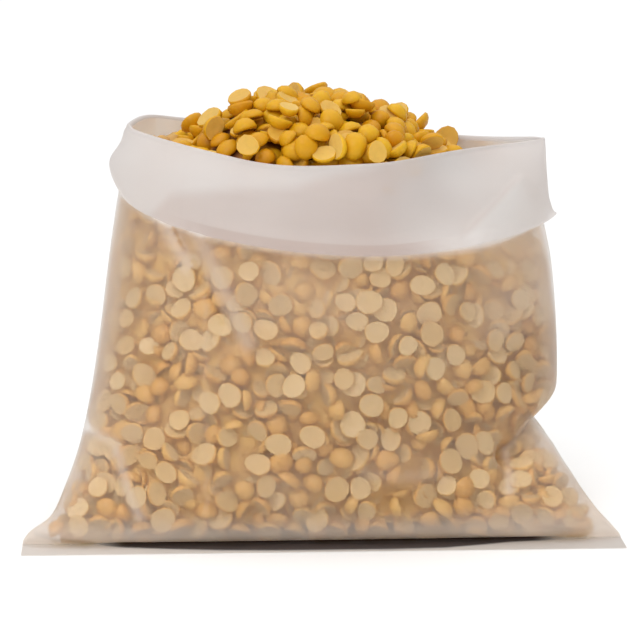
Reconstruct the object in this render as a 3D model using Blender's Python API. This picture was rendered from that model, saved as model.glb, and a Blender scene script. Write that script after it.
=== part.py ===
"""Open plastic bag of split chickpeas, its mouth turned down as a cuff.

The bag is one length of flat film tube, 179 mm wide, sealed straight across the bottom.
Filled, its lower front stands over the seal, the seal's skirt lies flat in front of it,
and the two bottom corners stick out as flat ears. The peas heap up above the rim.

Metres, +Z up, the front faces -Y. The origin is on the floor below the middle of the bag.
"""

import math
import random

import bmesh
import bpy
import numpy as np

# Film tube
SEAL_Y = -0.038             # the seal, under the front of the bag
SKIRT_EDGE_Y = -0.050       # cut edge of the skirt in front of the seal
SKIRT_HALF = 0.0895         # half of the tube's width laid flat
FILM = 0.0006               # thickness of the wall that stands in for the film
CUFF_GAP = 0.0006           # cuff to wall at the rim
CUFF_FLARE = 0.0014         # how much further the hem hangs off the wall
FLAP_FLARE = 0.0022         # and more at the right, where the hem ends in a flap
RIM_ROLL = 0.0012           # height of the turned edge above the wall

# Lines up the film, each at the same stations from the seal to the rim
LEFT_EDGE = [(-0.0893, -0.0380, 0.0010), (-0.0868, -0.0385, 0.0045), (-0.0805, -0.0365, 0.0090),
             (-0.0765, -0.0310, 0.0165), (-0.0722, -0.0200, 0.0270), (-0.0690, -0.0090, 0.0400),
             (-0.0660, -0.0030, 0.0580), (-0.0632, 0.0000, 0.0790), (-0.0600, 0.0000, 0.1000),
             (-0.0555, 0.0000, 0.1225)]
RIGHT_EDGE = [(0.0893, -0.0380, 0.0010), (0.0852, -0.0385, 0.0055), (0.0808, -0.0370, 0.0105),
              (0.0755, -0.0300, 0.0180), (0.0705, -0.0190, 0.0275), (0.0728, -0.0080, 0.0410),
              (0.0730, -0.0030, 0.0590), (0.0716, 0.0000, 0.0790), (0.0682, 0.0000, 0.0980),
              (0.0688, 0.0000, 0.1170)]
FRONT_LINE = [(-0.0380, 0.0012), (-0.0443, 0.0035), (-0.0465, 0.0090), (-0.0475, 0.0170),
              (-0.0475, 0.0280), (-0.0470, 0.0420), (-0.0457, 0.0600), (-0.0435, 0.0790),
              (-0.0405, 0.0970), (-0.0370, 0.1130)]
BACK_LINE = [(-0.0380, 0.0000), (-0.0220, -0.0010), (0.0010, -0.0030), (0.0240, -0.0030),
             (0.0420, 0.0080), (0.0484, 0.0320), (0.0491, 0.0550), (0.0468, 0.0770),
             (0.0420, 0.0960), (0.0360, 0.1160)]
TOP = len(FRONT_LINE) - 1

# How full the section is at each station: 1 is an ellipse, less is boxier, more is a thin lens
FRONT_FULLNESS = [0.45, 0.50, 0.60, 0.80, 0.95, 1.0, 1.0, 1.0, 1.0, 1.0]
BACK_FULLNESS_Y = [1.6, 1.4, 1.2, 1.1, 1.0, 1.0, 1.0, 1.0, 1.0, 1.0]
BACK_FULLNESS_Z = [0.5, 0.5, 0.5, 0.5, 0.7, 1.0, 1.0, 1.0, 1.0, 1.0]

# The mouth is flat shut at its right end, above a line that falls from the rim to the edge
PINCH_X = 0.046
PINCH_Z = 0.114
PINCH_NORMAL = (0.648, 0.762)
PINCH_BEFORE = 0.022
PINCH_WIDTH = 0.031
PINCH_LEFT_OPEN = 0.03
PINCH_NO_PEAS = -0.0075     # no pea is laid past here

# Folds pressed into the film: x and z of both ends, half-width and depth
FOLDS = [(0.0740, 0.0345, 0.0560, 0.0270, 0.0040, 0.0072),
         (0.0560, 0.0270, 0.0540, 0.0180, 0.0030, 0.0016),
         (-0.0430, 0.0860, -0.0370, 0.0720, 0.0035, 0.0022),
         (-0.0330, 0.0820, -0.0230, 0.0600, 0.0035, 0.0016),
         (-0.0640, 0.0260, -0.0550, 0.0070, 0.0035, 0.0016)]

# The peas
PEAS_GAP = 0.0009           # contents to film, wide enough for the facets of both to stay clear
HEAP_EDGE_GAP = 0.0012      # and at the foot of the heap
SHUT_END_GAP = 0.0024       # and more of it under the shut end, where the film curves both ways
HEAP_PEAK = (-0.001, 0.0, 0.1312)
HEAP_POWER = 2.1            # 1 is a cone, 2 a dome
PEA_COUNT = 128
PEA_LENGTH = 0.0074
PEA_WIDTH = 0.0066
PEA_DOME = 0.0028           # height of the rounded side
PEA_SPLIT_FACE = 0.0010     # height of the nearly flat side
PEA_SUNK = 0.0002           # how deep a pea's widest line sits in the core
PEA_MARGIN = 0.0060         # middle of a pea to the film, at least
SEED = 4

# Rings
AROUND = 48
WALL_STATIONS = [0.5, 0.8, 1.1, 1.5, 2.0, 2.5, 3.0, 3.4, 3.8, 4.2, 4.6, 5.0, 5.6, 6.2, 6.8, 7.4, 8.0, 8.5, 8.9]
CONTENTS_STATIONS = [station for station in WALL_STATIONS if 1.0 < station < 7.5]


def spline(points, station):
    """Catmull-Rom curve through the points, read at the station numbers given."""
    points = np.asarray(points, dtype=float)
    if points.ndim == 1:
        points = points[:, None]
    last = len(points) - 1
    station = np.clip(np.asarray(station, dtype=float), 0.0, last)
    first = np.clip(np.floor(station).astype(int), 0, last - 1)
    f = (station - first)[..., None]
    p0 = points[np.maximum(first - 1, 0)]
    p1 = points[first]
    p2 = points[first + 1]
    p3 = points[np.minimum(first + 2, last)]
    return 0.5 * (2 * p1 + (p2 - p0) * f + (2 * p0 - 5 * p1 + 4 * p2 - p3) * f ** 2
                  + (3 * p1 - p0 - 3 * p2 + p3) * f ** 3)


def smooth_step(x):
    x = np.clip(x, 0.0, 1.0)
    return x * x * (3 - 2 * x)


def section(station, across, side):
    """Point of the inner face: across runs -1 left to 1 right, side is -1 front to 1 back."""
    left = spline(LEFT_EDGE, station)
    right = spline(RIGHT_EDGE, station)
    edge = left + (right - left) * (across[..., None] + 1) / 2
    middle = (left + right)[..., 1:] / 2
    front = spline(FRONT_LINE, station) - middle
    back = spline(BACK_LINE, station) - middle
    rise = np.sqrt(np.clip(1 - across ** 2, 0.0, 1.0))
    is_front = side < 0
    power_y = np.where(is_front, spline(FRONT_FULLNESS, station)[..., 0],
                       spline(BACK_FULLNESS_Y, station)[..., 0])
    power_z = np.where(is_front, spline(FRONT_FULLNESS, station)[..., 0],
                       spline(BACK_FULLNESS_Z, station)[..., 0])
    reach = np.where(is_front[..., None], front, back)
    point = edge.copy()
    weight = np.abs(side)
    point[..., 1] += reach[..., 0] * rise ** power_y * weight
    point[..., 2] += reach[..., 1] * rise ** power_z * weight
    point[..., 2] = np.maximum(point[..., 2], FILM)
    return point


def side_of(angle):
    """-1 on the front film, 1 on the back film and 0 on the two edges between them."""
    s = np.sin(angle)
    return np.where(np.abs(s) < 1e-6, 0.0, np.sign(s))


def fold_depth(point):
    """How deep the folds press the front film in at a point."""
    depth = np.zeros(point.shape[:-1])
    for x0, z0, x1, z1, width, deep in FOLDS:
        along = np.array([x1 - x0, z1 - z0])
        offset = point[..., [0, 2]] - np.array([x0, z0])
        f = np.clip(offset @ along / (along @ along), 0.0, 1.0)
        distance = np.linalg.norm(offset - f[..., None] * along, axis=-1)
        depth = np.maximum(depth, deep * np.exp(-(distance / width) ** 2))
    return depth * smooth_step((0.010 - point[..., 1]) / 0.015)


def pinch(point):
    """Presses the right end of the mouth flat."""
    x, y, z = point[..., 0], point[..., 1], point[..., 2]
    above = (x - PINCH_X) * PINCH_NORMAL[0] + (z - PINCH_Z) * PINCH_NORMAL[1]
    shut = smooth_step((above + PINCH_BEFORE) / PINCH_WIDTH)
    result = point.copy()
    result[..., 1] = y * (1 - (1 - PINCH_LEFT_OPEN) * shut)
    return result


def normals(surface, station, angle):
    """Outward normals of a surface of station and angle, by small steps both ways."""
    low = np.maximum(station - 0.03, 0.2)
    high = np.minimum(station + 0.03, TOP)
    up = surface(high, angle) - surface(low, angle)
    round_ = surface(station, angle + 0.04) - surface(station, angle - 0.04)
    normal = np.cross(round_, up)
    return normal / np.linalg.norm(normal, axis=-1)[..., None]


def plain(station, angle):
    return section(station, np.cos(angle), side_of(angle))


def inset(station, angle, depth):
    """The film's inner face before the mouth is pinched, moved in by depth."""
    point = plain(station, angle)
    normal = normals(plain, station, angle)
    return point - normal * (depth + fold_depth(point))[..., None]


def inner_face(station, angle):
    return pinch(inset(station, angle, 0.0))


def film(station, angle, out):
    """The film at a distance outside its inner face."""
    point = inner_face(station, angle)
    out = np.broadcast_to(out, angle.shape)
    return point + normals(inner_face, station, angle) * out[..., None]


def ring_angles():
    return np.arange(AROUND) * 2 * math.pi / AROUND


def flat_ring(y, top):
    """A ring pressed flat on the floor: its front half is the upper face."""
    angle = ring_angles()
    side = side_of(angle)
    ring = np.zeros((AROUND, 3))
    ring[:, 0] = SKIRT_HALF * np.cos(angle)
    ring[:, 1] = y
    ring[:, 2] = np.where(side < 0, top, np.where(side > 0, 0.0, top / 2))
    return ring


def hem_station(angle):
    """Where the cuff's hem hangs, by its height on the wall: lowest in front."""
    return 7.69 - 0.20 * np.cos(angle) + 0.075 * np.sin(angle) + 0.16 * np.cos(2 * angle)


def cuff_gap(angle, down):
    flap = np.exp(-(np.sin(angle / 2) / 0.22) ** 2)
    return CUFF_GAP + (CUFF_FLARE + FLAP_FLARE * flap) * down


def bag_rings():
    """Rings along the film, from the skirt up the outside, round the cuff and down inside."""
    angle = ring_angles()
    cuff = [0.05, 0.25, 0.5, 0.75, 1.0]
    rings = [flat_ring(SKIRT_EDGE_Y, FILM), flat_ring(SEAL_Y, FILM)]
    for station in WALL_STATIONS:
        rings.append(film(np.full(AROUND, station), angle, FILM))
    drop = TOP - hem_station(angle)
    for down in cuff:
        rings.append(film(TOP - drop * down, angle, FILM + cuff_gap(angle, down)))
    for down in reversed(cuff):
        rings.append(film(TOP - drop * down, angle, 2 * FILM + cuff_gap(angle, down)))
    rim = film(np.full(AROUND, float(TOP)), angle, FILM + CUFF_GAP / 2)
    rim[:, 2] += RIM_ROLL
    rings.append(rim)
    for station in reversed(WALL_STATIONS):
        rings.append(inner_face(np.full(AROUND, station), angle))
    return rings


def heap_gap(angle):
    return HEAP_EDGE_GAP + SHUT_END_GAP * smooth_step(np.cos(angle))


def contents_ring(station, angle, shorten, gap):
    """A ring of the contents before the pinch, stopping short of the bag's flat ears."""
    across = np.cos(angle) * (1 - shorten)
    side = side_of(angle)
    front = np.arctan2(-np.sqrt(1 - across ** 2), across)
    back = -front
    at_front = inset(station, front, gap)
    at_back = inset(station, back, gap)
    middle = (at_front + at_back) / 2
    result = np.where((side < 0)[:, None], at_front, at_back)
    return np.where((side == 0)[:, None] & (shorten[:, None] > 0), middle, result)


def peas_edge(angle):
    """Station on the film where the heap's skirt meets it: low under the pinched end."""
    return 8.47 - 0.25 * np.cos(angle) - 0.38 * np.cos(2 * angle)


def heap_point(reach, angle):
    """Point on top of the heap's core: reach is 0 at the peak and 1 at the film."""
    edge = contents_ring(peas_edge(angle), angle, np.zeros_like(angle), heap_gap(angle))
    peak = np.array(HEAP_PEAK)
    point = peak + (edge - peak) * reach[..., None]
    point[..., 2] = edge[..., 2] + (peak[2] - edge[..., 2]) * (1 - reach ** HEAP_POWER)
    return pinch(point)


def contents_rings():
    angle = ring_angles()
    rings = []
    for station in CONTENTS_STATIONS:
        shorten = np.full(AROUND, 0.07 * (1 - smooth_step(station / 3.5)))
        rings.append(pinch(contents_ring(np.full(AROUND, station), angle, shorten, PEAS_GAP)))
    last = CONTENTS_STATIONS[-1]
    between = last + 0.6 * (peas_edge(angle) - last)
    rings.append(pinch(contents_ring(between, angle, np.zeros(AROUND), heap_gap(angle))))
    for reach in [1.0, 0.88, 0.74, 0.58, 0.40, 0.20]:
        rings.append(heap_point(np.full(AROUND, reach), angle))
    return rings


def add_ring(mesh, points):
    return [mesh.verts.new(point) for point in points]


def join_rings(mesh, lower, upper):
    for i in range(AROUND):
        j = (i + 1) % AROUND
        mesh.faces.new((lower[i], lower[j], upper[j], upper[i]))


def close_flat(mesh, ring):
    """Closes a ring by faces from its front half to its back half."""
    half = AROUND // 2
    mesh.faces.new((ring[0], ring[1], ring[-1]))
    for i in range(1, half - 1):
        mesh.faces.new((ring[i], ring[i + 1], ring[-i - 1], ring[-i]))
    mesh.faces.new((ring[half - 1], ring[half], ring[half + 1]))


def finish_object(name, mesh, material, collection):
    bmesh.ops.recalc_face_normals(mesh, faces=mesh.faces)
    bmesh.ops.triangulate(mesh, faces=mesh.faces)
    data = bpy.data.meshes.new(name)
    mesh.to_mesh(data)
    mesh.free()
    data.shade_smooth()
    data.materials.append(material)
    thing = bpy.data.objects.new(name, data)
    collection.objects.link(thing)
    return thing


def make_material(name, colour, roughness):
    material = bpy.data.materials.new(name)
    material.use_nodes = True
    shader = material.node_tree.nodes["Principled BSDF"]
    shader.inputs["Base Color"].default_value = (*colour, 1.0)
    shader.inputs["Roughness"].default_value = roughness
    return material


def make_bag(collection):
    mesh = bmesh.new()
    rings = [add_ring(mesh, points) for points in bag_rings()]
    close_flat(mesh, rings[0])
    for lower, upper in zip(rings, rings[1:]):
        join_rings(mesh, lower, upper)
    close_flat(mesh, rings[-1])
    milky = make_material("milky polyethylene film", (0.72, 0.66, 0.60), 0.45)
    return finish_object("film_bag", mesh, milky, collection)


def make_core(collection, material):
    mesh = bmesh.new()
    rings = [add_ring(mesh, points) for points in contents_rings()]
    close_flat(mesh, rings[0])
    for lower, upper in zip(rings, rings[1:]):
        join_rings(mesh, lower, upper)
    peak = mesh.verts.new(HEAP_PEAK)
    for i in range(AROUND):
        mesh.faces.new((rings[-1][i], rings[-1][(i + 1) % AROUND], peak))
    return finish_object("split_peas", mesh, material, collection)


def make_pea(name, matrix, collection, rng):
    """One half chickpea, domed on top and nearly flat below."""
    mesh = bmesh.new()
    bmesh.ops.create_uvsphere(mesh, u_segments=6, v_segments=3, radius=1.0)
    size = rng.uniform(0.92, 1.08)
    for vert in mesh.verts:
        thick = PEA_DOME if vert.co.z > 0 else PEA_SPLIT_FACE
        vert.co.x *= PEA_LENGTH / 2 * size
        vert.co.y *= PEA_WIDTH / 2 * size
        vert.co.z *= thick * size
    mesh.transform(matrix)
    data = bpy.data.meshes.new(name)
    mesh.to_mesh(data)
    mesh.free()
    pea = bpy.data.objects.new(name, data)
    collection.objects.link(pea)


def heap_frames():
    """Position and outward normal for each pea, spread evenly by the golden angle."""
    golden = math.pi * (3 - math.sqrt(5))
    rank = (np.arange(PEA_COUNT) + 0.5) / PEA_COUNT
    angle = np.arange(PEA_COUNT) * golden
    whole = np.linalg.norm(heap_point(np.ones(PEA_COUNT), angle)[:, :2] - np.array(HEAP_PEAK[:2]), axis=1)
    reach = np.sqrt(rank) * (1 - PEA_MARGIN / whole)
    step = 0.01
    point = heap_point(reach, angle)
    outward = heap_point(reach + step, angle) - heap_point(reach - step, angle)
    sideways = heap_point(reach, angle + step) - heap_point(reach, angle - step)
    normal = np.cross(outward, sideways)
    return point, normal / np.linalg.norm(normal, axis=-1)[:, None]


def in_the_shut_end(point):
    above = (point[0] - PINCH_X) * PINCH_NORMAL[0] + (point[2] - PINCH_Z) * PINCH_NORMAL[1]
    return above > PINCH_NO_PEAS


def lay_peas(collection):
    from mathutils import Matrix, Vector
    rng = random.Random(SEED)
    points, directions = heap_frames()
    for number, (point, direction) in enumerate(zip(points, directions)):
        lean = Vector(direction) + Vector((rng.uniform(-0.45, 0.45) for _ in range(3)))
        spin = rng.uniform(0, 2 * math.pi)
        if in_the_shut_end(point):
            continue
        turn = Vector((0, 0, 1)).rotation_difference(lean.normalized()).to_matrix().to_4x4()
        place = Vector(point) - Vector(direction) * PEA_SUNK
        matrix = Matrix.Translation(place) @ turn @ Matrix.Rotation(spin, 4, "Z")
        make_pea("pea_%03d" % number, matrix, collection, rng)


def keep_largest_shell(thing):
    """Drops loose scraps and fills sealed hollows: both are shells of their own."""
    mesh = bmesh.new()
    mesh.from_mesh(thing.data)
    shells = []
    seen = set()
    for vert in mesh.verts:
        if vert in seen:
            continue
        shell = {vert}
        todo = [vert]
        while todo:
            for edge in todo.pop().link_edges:
                for other in edge.verts:
                    if other not in shell:
                        shell.add(other)
                        todo.append(other)
        seen |= shell
        shells.append(shell)
    largest = max(shells, key=len)
    bmesh.ops.delete(mesh, geom=[v for v in mesh.verts if v not in largest], context="VERTS")
    mesh.to_mesh(thing.data)
    mesh.free()


def fuse_peas(core):
    """Joins the peas on top to the core by one union."""
    loose = bpy.data.collections.new("loose peas")
    bpy.context.scene.collection.children.link(loose)
    lay_peas(loose)
    union = core.modifiers.new("peas", "BOOLEAN")
    union.operation = "UNION"
    union.operand_type = "COLLECTION"
    union.collection = loose
    union.solver = "MANIFOLD"
    depsgraph = bpy.context.evaluated_depsgraph_get()
    fused = bpy.data.meshes.new_from_object(core.evaluated_get(depsgraph))
    core.modifiers.clear()
    core.data = fused
    for pea in list(loose.objects):
        bpy.data.objects.remove(pea)
    bpy.data.collections.remove(loose)
    keep_largest_shell(core)


def main():
    for thing in list(bpy.data.objects):
        bpy.data.objects.remove(thing)
    collection = bpy.data.collections.new("bag of split chickpeas")
    bpy.context.scene.collection.children.link(collection)
    make_bag(collection)
    yellow = make_material("split chickpeas", (0.58, 0.29, 0.06), 0.5)
    core = make_core(collection, yellow)
    fuse_peas(core)


main()
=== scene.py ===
import math
import random

import bpy
import numpy as np
from mathutils import Matrix, Vector
from mathutils.bvhtree import BVHTree
from mathutils.kdtree import KDTree


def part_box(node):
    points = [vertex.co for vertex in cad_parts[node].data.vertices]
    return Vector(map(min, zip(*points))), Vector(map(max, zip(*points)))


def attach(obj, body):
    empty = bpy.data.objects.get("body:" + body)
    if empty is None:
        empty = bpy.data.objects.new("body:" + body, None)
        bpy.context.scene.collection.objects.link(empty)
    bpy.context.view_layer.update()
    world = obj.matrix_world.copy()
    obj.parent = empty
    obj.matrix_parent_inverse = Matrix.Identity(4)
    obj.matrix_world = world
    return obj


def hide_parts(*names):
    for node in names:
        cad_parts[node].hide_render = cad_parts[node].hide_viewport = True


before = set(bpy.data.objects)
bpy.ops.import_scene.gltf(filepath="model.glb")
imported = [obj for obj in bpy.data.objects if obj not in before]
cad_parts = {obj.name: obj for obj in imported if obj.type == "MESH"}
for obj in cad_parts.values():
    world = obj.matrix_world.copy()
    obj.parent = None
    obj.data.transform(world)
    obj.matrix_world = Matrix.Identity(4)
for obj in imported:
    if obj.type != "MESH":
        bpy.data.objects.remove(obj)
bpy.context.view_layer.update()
scene = bpy.context.scene

# The bag
# A length of flat film tube, sealed straight across the bottom, in milky polyethylene.
# Filled, its front stands over the seal, the skirt lies flat in front of it, and the
# corners stick out as ears. Its surface is one function of station, up, and angle, round.
bag_low, bag_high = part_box("film_bag")
SEAL_Y = -0.038
SKIRT_EDGE_Y = bag_low[1]
SKIRT_HALF = (bag_high[0] - bag_low[0]) / 2
WALL = 0.0006               # the solid's wall: its inner face is what the peas lean on

LEFT_EDGE = [(-0.0893, -0.0380, 0.0010), (-0.0868, -0.0385, 0.0045), (-0.0805, -0.0365, 0.0090),
             (-0.0765, -0.0310, 0.0165), (-0.0722, -0.0200, 0.0270), (-0.0690, -0.0090, 0.0400),
             (-0.0660, -0.0030, 0.0580), (-0.0632, 0.0000, 0.0790), (-0.0600, 0.0000, 0.1000),
             (-0.0555, 0.0000, 0.1225)]
RIGHT_EDGE = [(0.0893, -0.0380, 0.0010), (0.0852, -0.0385, 0.0055), (0.0808, -0.0370, 0.0105),
              (0.0755, -0.0300, 0.0180), (0.0705, -0.0190, 0.0275), (0.0728, -0.0080, 0.0410),
              (0.0730, -0.0030, 0.0590), (0.0716, 0.0000, 0.0790), (0.0682, 0.0000, 0.0980),
              (0.0688, 0.0000, 0.1170)]
FRONT_LINE = [(-0.0380, 0.0012), (-0.0443, 0.0035), (-0.0465, 0.0090), (-0.0475, 0.0170),
              (-0.0475, 0.0280), (-0.0470, 0.0420), (-0.0457, 0.0600), (-0.0435, 0.0790),
              (-0.0405, 0.0970), (-0.0370, 0.1130)]
BACK_LINE = [(-0.0380, 0.0000), (-0.0220, -0.0010), (0.0010, -0.0030), (0.0240, -0.0030),
             (0.0420, 0.0080), (0.0484, 0.0320), (0.0491, 0.0550), (0.0468, 0.0770),
             (0.0420, 0.0960), (0.0360, 0.1160)]
TOP = len(FRONT_LINE) - 1
FRONT_FULLNESS = [0.45, 0.50, 0.60, 0.80, 0.95, 1.0, 1.0, 1.0, 1.0, 1.0]
BACK_FULLNESS_Y = [1.6, 1.4, 1.2, 1.1, 1.0, 1.0, 1.0, 1.0, 1.0, 1.0]
BACK_FULLNESS_Z = [0.5, 0.5, 0.5, 0.5, 0.7, 1.0, 1.0, 1.0, 1.0, 1.0]

# The pinch at the right end of the mouth: a line in x and z, how far it reaches, what stays open
PINCH_X = 0.046
PINCH_Z = 0.114
PINCH_NORMAL = (0.648, 0.762)
PINCH_BEFORE = 0.022
PINCH_WIDTH = 0.031
PINCH_LEFT_OPEN = 0.03

# Folds in the front film: x and z of both ends, half-width and depth, a ridge below nought
FOLDS = [(0.0740, 0.0345, 0.0560, 0.0270, 0.0040, 0.0072),
         (0.0560, 0.0270, 0.0540, 0.0180, 0.0030, 0.0016),
         (-0.0440, 0.0930, -0.0360, 0.0770, 0.0028, 0.0013),
         (-0.0480, 0.0950, -0.0405, 0.0800, 0.0024, -0.0008),
         (-0.0360, 0.0880, -0.0285, 0.0640, 0.0028, 0.0012),
         (-0.0330, 0.0880, -0.0230, 0.0620, 0.0024, -0.0008),
         (-0.0640, 0.0260, -0.0575, 0.0070, 0.0030, 0.0012),
         (-0.0600, 0.0265, -0.0545, 0.0090, 0.0024, -0.0008)]


def spline(points, station):
    """Catmull-Rom curve through the points, read at the station numbers given."""
    points = np.asarray(points, dtype=float)
    if points.ndim == 1:
        points = points[:, None]
    last = len(points) - 1
    station = np.clip(np.asarray(station, dtype=float), 0.0, last)
    first = np.clip(np.floor(station).astype(int), 0, last - 1)
    f = (station - first)[..., None]
    p0 = points[np.maximum(first - 1, 0)]
    p1 = points[first]
    p2 = points[first + 1]
    p3 = points[np.minimum(first + 2, last)]
    return 0.5 * (2 * p1 + (p2 - p0) * f + (2 * p0 - 5 * p1 + 4 * p2 - p3) * f ** 2
                  + (3 * p1 - p0 - 3 * p2 + p3) * f ** 3)


def smooth_step(x):
    x = np.clip(x, 0.0, 1.0)
    return x * x * (3 - 2 * x)


def side_of(angle):
    """-1 on the front film, 1 on the back film and 0 on the two edges between them."""
    s = np.sin(angle)
    return np.where(np.abs(s) < 1e-6, 0.0, np.sign(s))


def plain(station, angle):
    """The film before folds: the section is lens-shaped at the bottom, an ellipse higher up."""
    across = np.cos(angle)
    side = side_of(angle)
    left = spline(LEFT_EDGE, station)
    right = spline(RIGHT_EDGE, station)
    edge = left + (right - left) * (across[..., None] + 1) / 2
    middle = (left + right)[..., 1:] / 2
    front = spline(FRONT_LINE, station) - middle
    back = spline(BACK_LINE, station) - middle
    rise = np.sqrt(np.clip(1 - across ** 2, 0.0, 1.0))
    is_front = side < 0
    front_power = spline(FRONT_FULLNESS, station)[..., 0]
    power_y = np.where(is_front, front_power, spline(BACK_FULLNESS_Y, station)[..., 0])
    power_z = np.where(is_front, front_power, spline(BACK_FULLNESS_Z, station)[..., 0])
    reach = np.where(is_front[..., None], front, back)
    point = edge.copy()
    point[..., 1] += reach[..., 0] * rise ** power_y * np.abs(side)
    point[..., 2] += reach[..., 1] * rise ** power_z * np.abs(side)
    point[..., 2] = np.maximum(point[..., 2], WALL)
    return point


def from_line(point, start, end):
    """The distance, seen from the front, to the line between two places in x and z."""
    along = np.array(end) - np.array(start)
    offset = point[..., [0, 2]] - np.array(start)
    f = np.clip(offset @ along / (along @ along), 0.0, 1.0)
    return np.linalg.norm(offset - f[..., None] * along, axis=-1)


def fold_depth(point):
    depth = np.zeros(point.shape[:-1])
    for x0, z0, x1, z1, width, deep in FOLDS:
        depth = depth + deep * np.exp(-(from_line(point, (x0, z0), (x1, z1)) / width) ** 2)
    return depth * smooth_step((0.010 - point[..., 1]) / 0.015)


def pinch(point):
    """Presses the right end of the mouth flat."""
    above = (point[..., 0] - PINCH_X) * PINCH_NORMAL[0] \
        + (point[..., 2] - PINCH_Z) * PINCH_NORMAL[1]
    shut = smooth_step((above + PINCH_BEFORE) / PINCH_WIDTH)
    result = point.copy()
    result[..., 1] *= 1 - (1 - PINCH_LEFT_OPEN) * shut
    return result


STEP_UP = 0.03              # the steps that a surface's slope is measured over
STEP_ROUND = 0.04
LOWEST = 0.2                # no slope is measured below this station


def normals(surface, station, angle):
    low = np.maximum(station - STEP_UP, LOWEST)
    high = np.minimum(station + STEP_UP, TOP)
    up = surface(high, angle) - surface(low, angle)
    round_ = surface(station, angle + STEP_ROUND) - surface(station, angle - STEP_ROUND)
    normal = np.cross(round_, up)
    return normal / np.maximum(np.linalg.norm(normal, axis=-1), 1e-12)[..., None]


def inset(station, angle, depth):
    point = plain(station, angle)
    return point - normals(plain, station, angle) * (depth + fold_depth(point))[..., None]


def inner_face(station, angle):
    return pinch(inset(station, angle, 0.0))


def at_right(angle, width):
    """1 at the tube's right edge, fading away from it round the bag."""
    return np.exp(-(np.sin(angle / 2) / width) ** 2)


def at_left(angle, width):
    return np.exp(-(np.cos(angle / 2) / width) ** 2)


def hem_station(angle):
    """The station that the cuff's hem hangs down to: it is drawn up at both ends."""
    ends = 0.10 * at_left(angle, 0.16) + 0.12 * at_right(angle, 0.16)
    return 7.69 - 0.20 * np.cos(angle) + 0.075 * np.sin(angle) + 0.16 * np.cos(2 * angle) + ends


# The rim isn't level: how far it sags at its right and left ends, and then the angle, the sag
# and the width of each place between them, where a sag below nought is a rise
SAG_RIGHT, SAG_LEFT = 0.0012, 0.0020
RIM_SAGS = [(4.38, 0.0019, 0.05), (5.15, -0.0010, 0.05), (2.72, -0.0012, 0.03)]


def hung(station, angle):
    """The inner face, but hanging straight from the rim down to where the cuff ends."""
    start = hem_station(angle) - 0.12
    up = np.clip((station - start) / (TOP - start), 0.0, 1.0)
    low = inner_face(start, angle)
    high = inner_face(np.full(angle.shape, float(TOP)), angle)
    straight = low + (high - low) * up[..., None]
    sag = SAG_RIGHT * at_right(angle, 0.11) + SAG_LEFT * at_left(angle, 0.16)
    for centre, deep, width in RIM_SAGS:
        sag = sag + deep * np.exp((np.cos(angle - centre) - 1) / width)
    straight[..., 2] -= up ** 3 * sag
    face = inner_face(station, angle)
    blend = smooth_step(up / 0.2)[..., None]
    return np.where((station > start)[..., None], face + (straight - face) * blend, face)


def film(station, angle, out):
    """The film at a distance outside the inner face."""
    out = np.broadcast_to(out, angle.shape)
    return hung(station, angle) + normals(hung, station, angle) * out[..., None]


def hex_colour(text):
    """An sRGB hex colour as linear red, green, blue and alpha."""
    parts = [int(text[i:i + 2], 16) / 255 for i in (1, 3, 5)]
    linear = [c / 12.92 if c <= 0.04045 else ((c + 0.055) / 1.055) ** 2.4 for c in parts]
    return (*linear, 1.0)


def node(tree, kind, settings=None, **links):
    """Adds a node with its settings. Its inputs come by name, or by number as in0, in1 and so
    on. Each is a value, a socket, or a node, which stands for its first output."""
    made = tree.nodes.new(kind)
    for key, value in (settings or {}).items():
        setattr(made, key, value)
    for key, value in links.items():
        socket = made.inputs[int(key[2:])] if key.startswith("in") and key[2:].isdigit() \
            else made.inputs[key.replace("_", " ")]
        if isinstance(value, bpy.types.Node):
            value = value.outputs[0]
        if isinstance(value, bpy.types.NodeSocket):
            tree.links.new(value, socket)
        else:
            socket.default_value = value
    return made


def maths(tree, operation, *values):
    named = {"in%d" % k: value for k, value in enumerate(values)}
    return node(tree, "ShaderNodeMath", {"operation": operation}, **named)


def mix_colour(tree, share, first, second):
    mixed = node(tree, "ShaderNodeMix", {"data_type": "RGBA"}, in0=share, in6=first, in7=second)
    return mixed.outputs[2]


def mix_shader(tree, share, first, second):
    return node(tree, "ShaderNodeMixShader", in0=share, in1=first, in2=second)


def read_attribute(tree, name):
    return node(tree, "ShaderNodeAttribute", {"attribute_name": name}).outputs["Fac"]


def start_material(name):
    material = bpy.data.materials.new(name)
    material.use_nodes = True
    material.node_tree.nodes.clear()
    return material, material.node_tree


def add_object(name, data):
    made = bpy.data.objects.new(name, data)
    scene.collection.objects.link(made)
    return made


def grid_object(name, points, closed, capped=False):
    """A sheet through a grid of points, row by row; closed joins each row's ends, and capped
    closes the first and the last row with a fan round their middles."""
    rows, columns = points.shape[:2]
    index = np.arange(rows * columns).reshape(rows, columns)
    if closed:
        index = np.concatenate([index, index[:, :1]], axis=1)
    quads = np.stack([index[:-1, :-1], index[:-1, 1:], index[1:, 1:], index[1:, :-1]], axis=-1)
    verts, faces = points.reshape(-1, 3), quads.reshape(-1, 4).tolist()
    if capped:
        low, high = len(verts), len(verts) + 1
        verts = np.concatenate([verts, points[0].mean(axis=0)[None], points[-1].mean(axis=0)[None]])
        faces += [(b, a, low) for a, b in zip(index[0, :-1].tolist(), index[0, 1:].tolist())]
        faces += [(a, b, high) for a, b in zip(index[-1, :-1].tolist(), index[-1, 1:].tolist())]
    mesh = bpy.data.meshes.new(name)
    mesh.from_pydata(verts, [], faces)
    mesh.shade_smooth()
    return add_object(name, mesh)


FILM_OUT = 0.0004           # the film's sheet outside the solid's inner face
AROUND = 420
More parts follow.
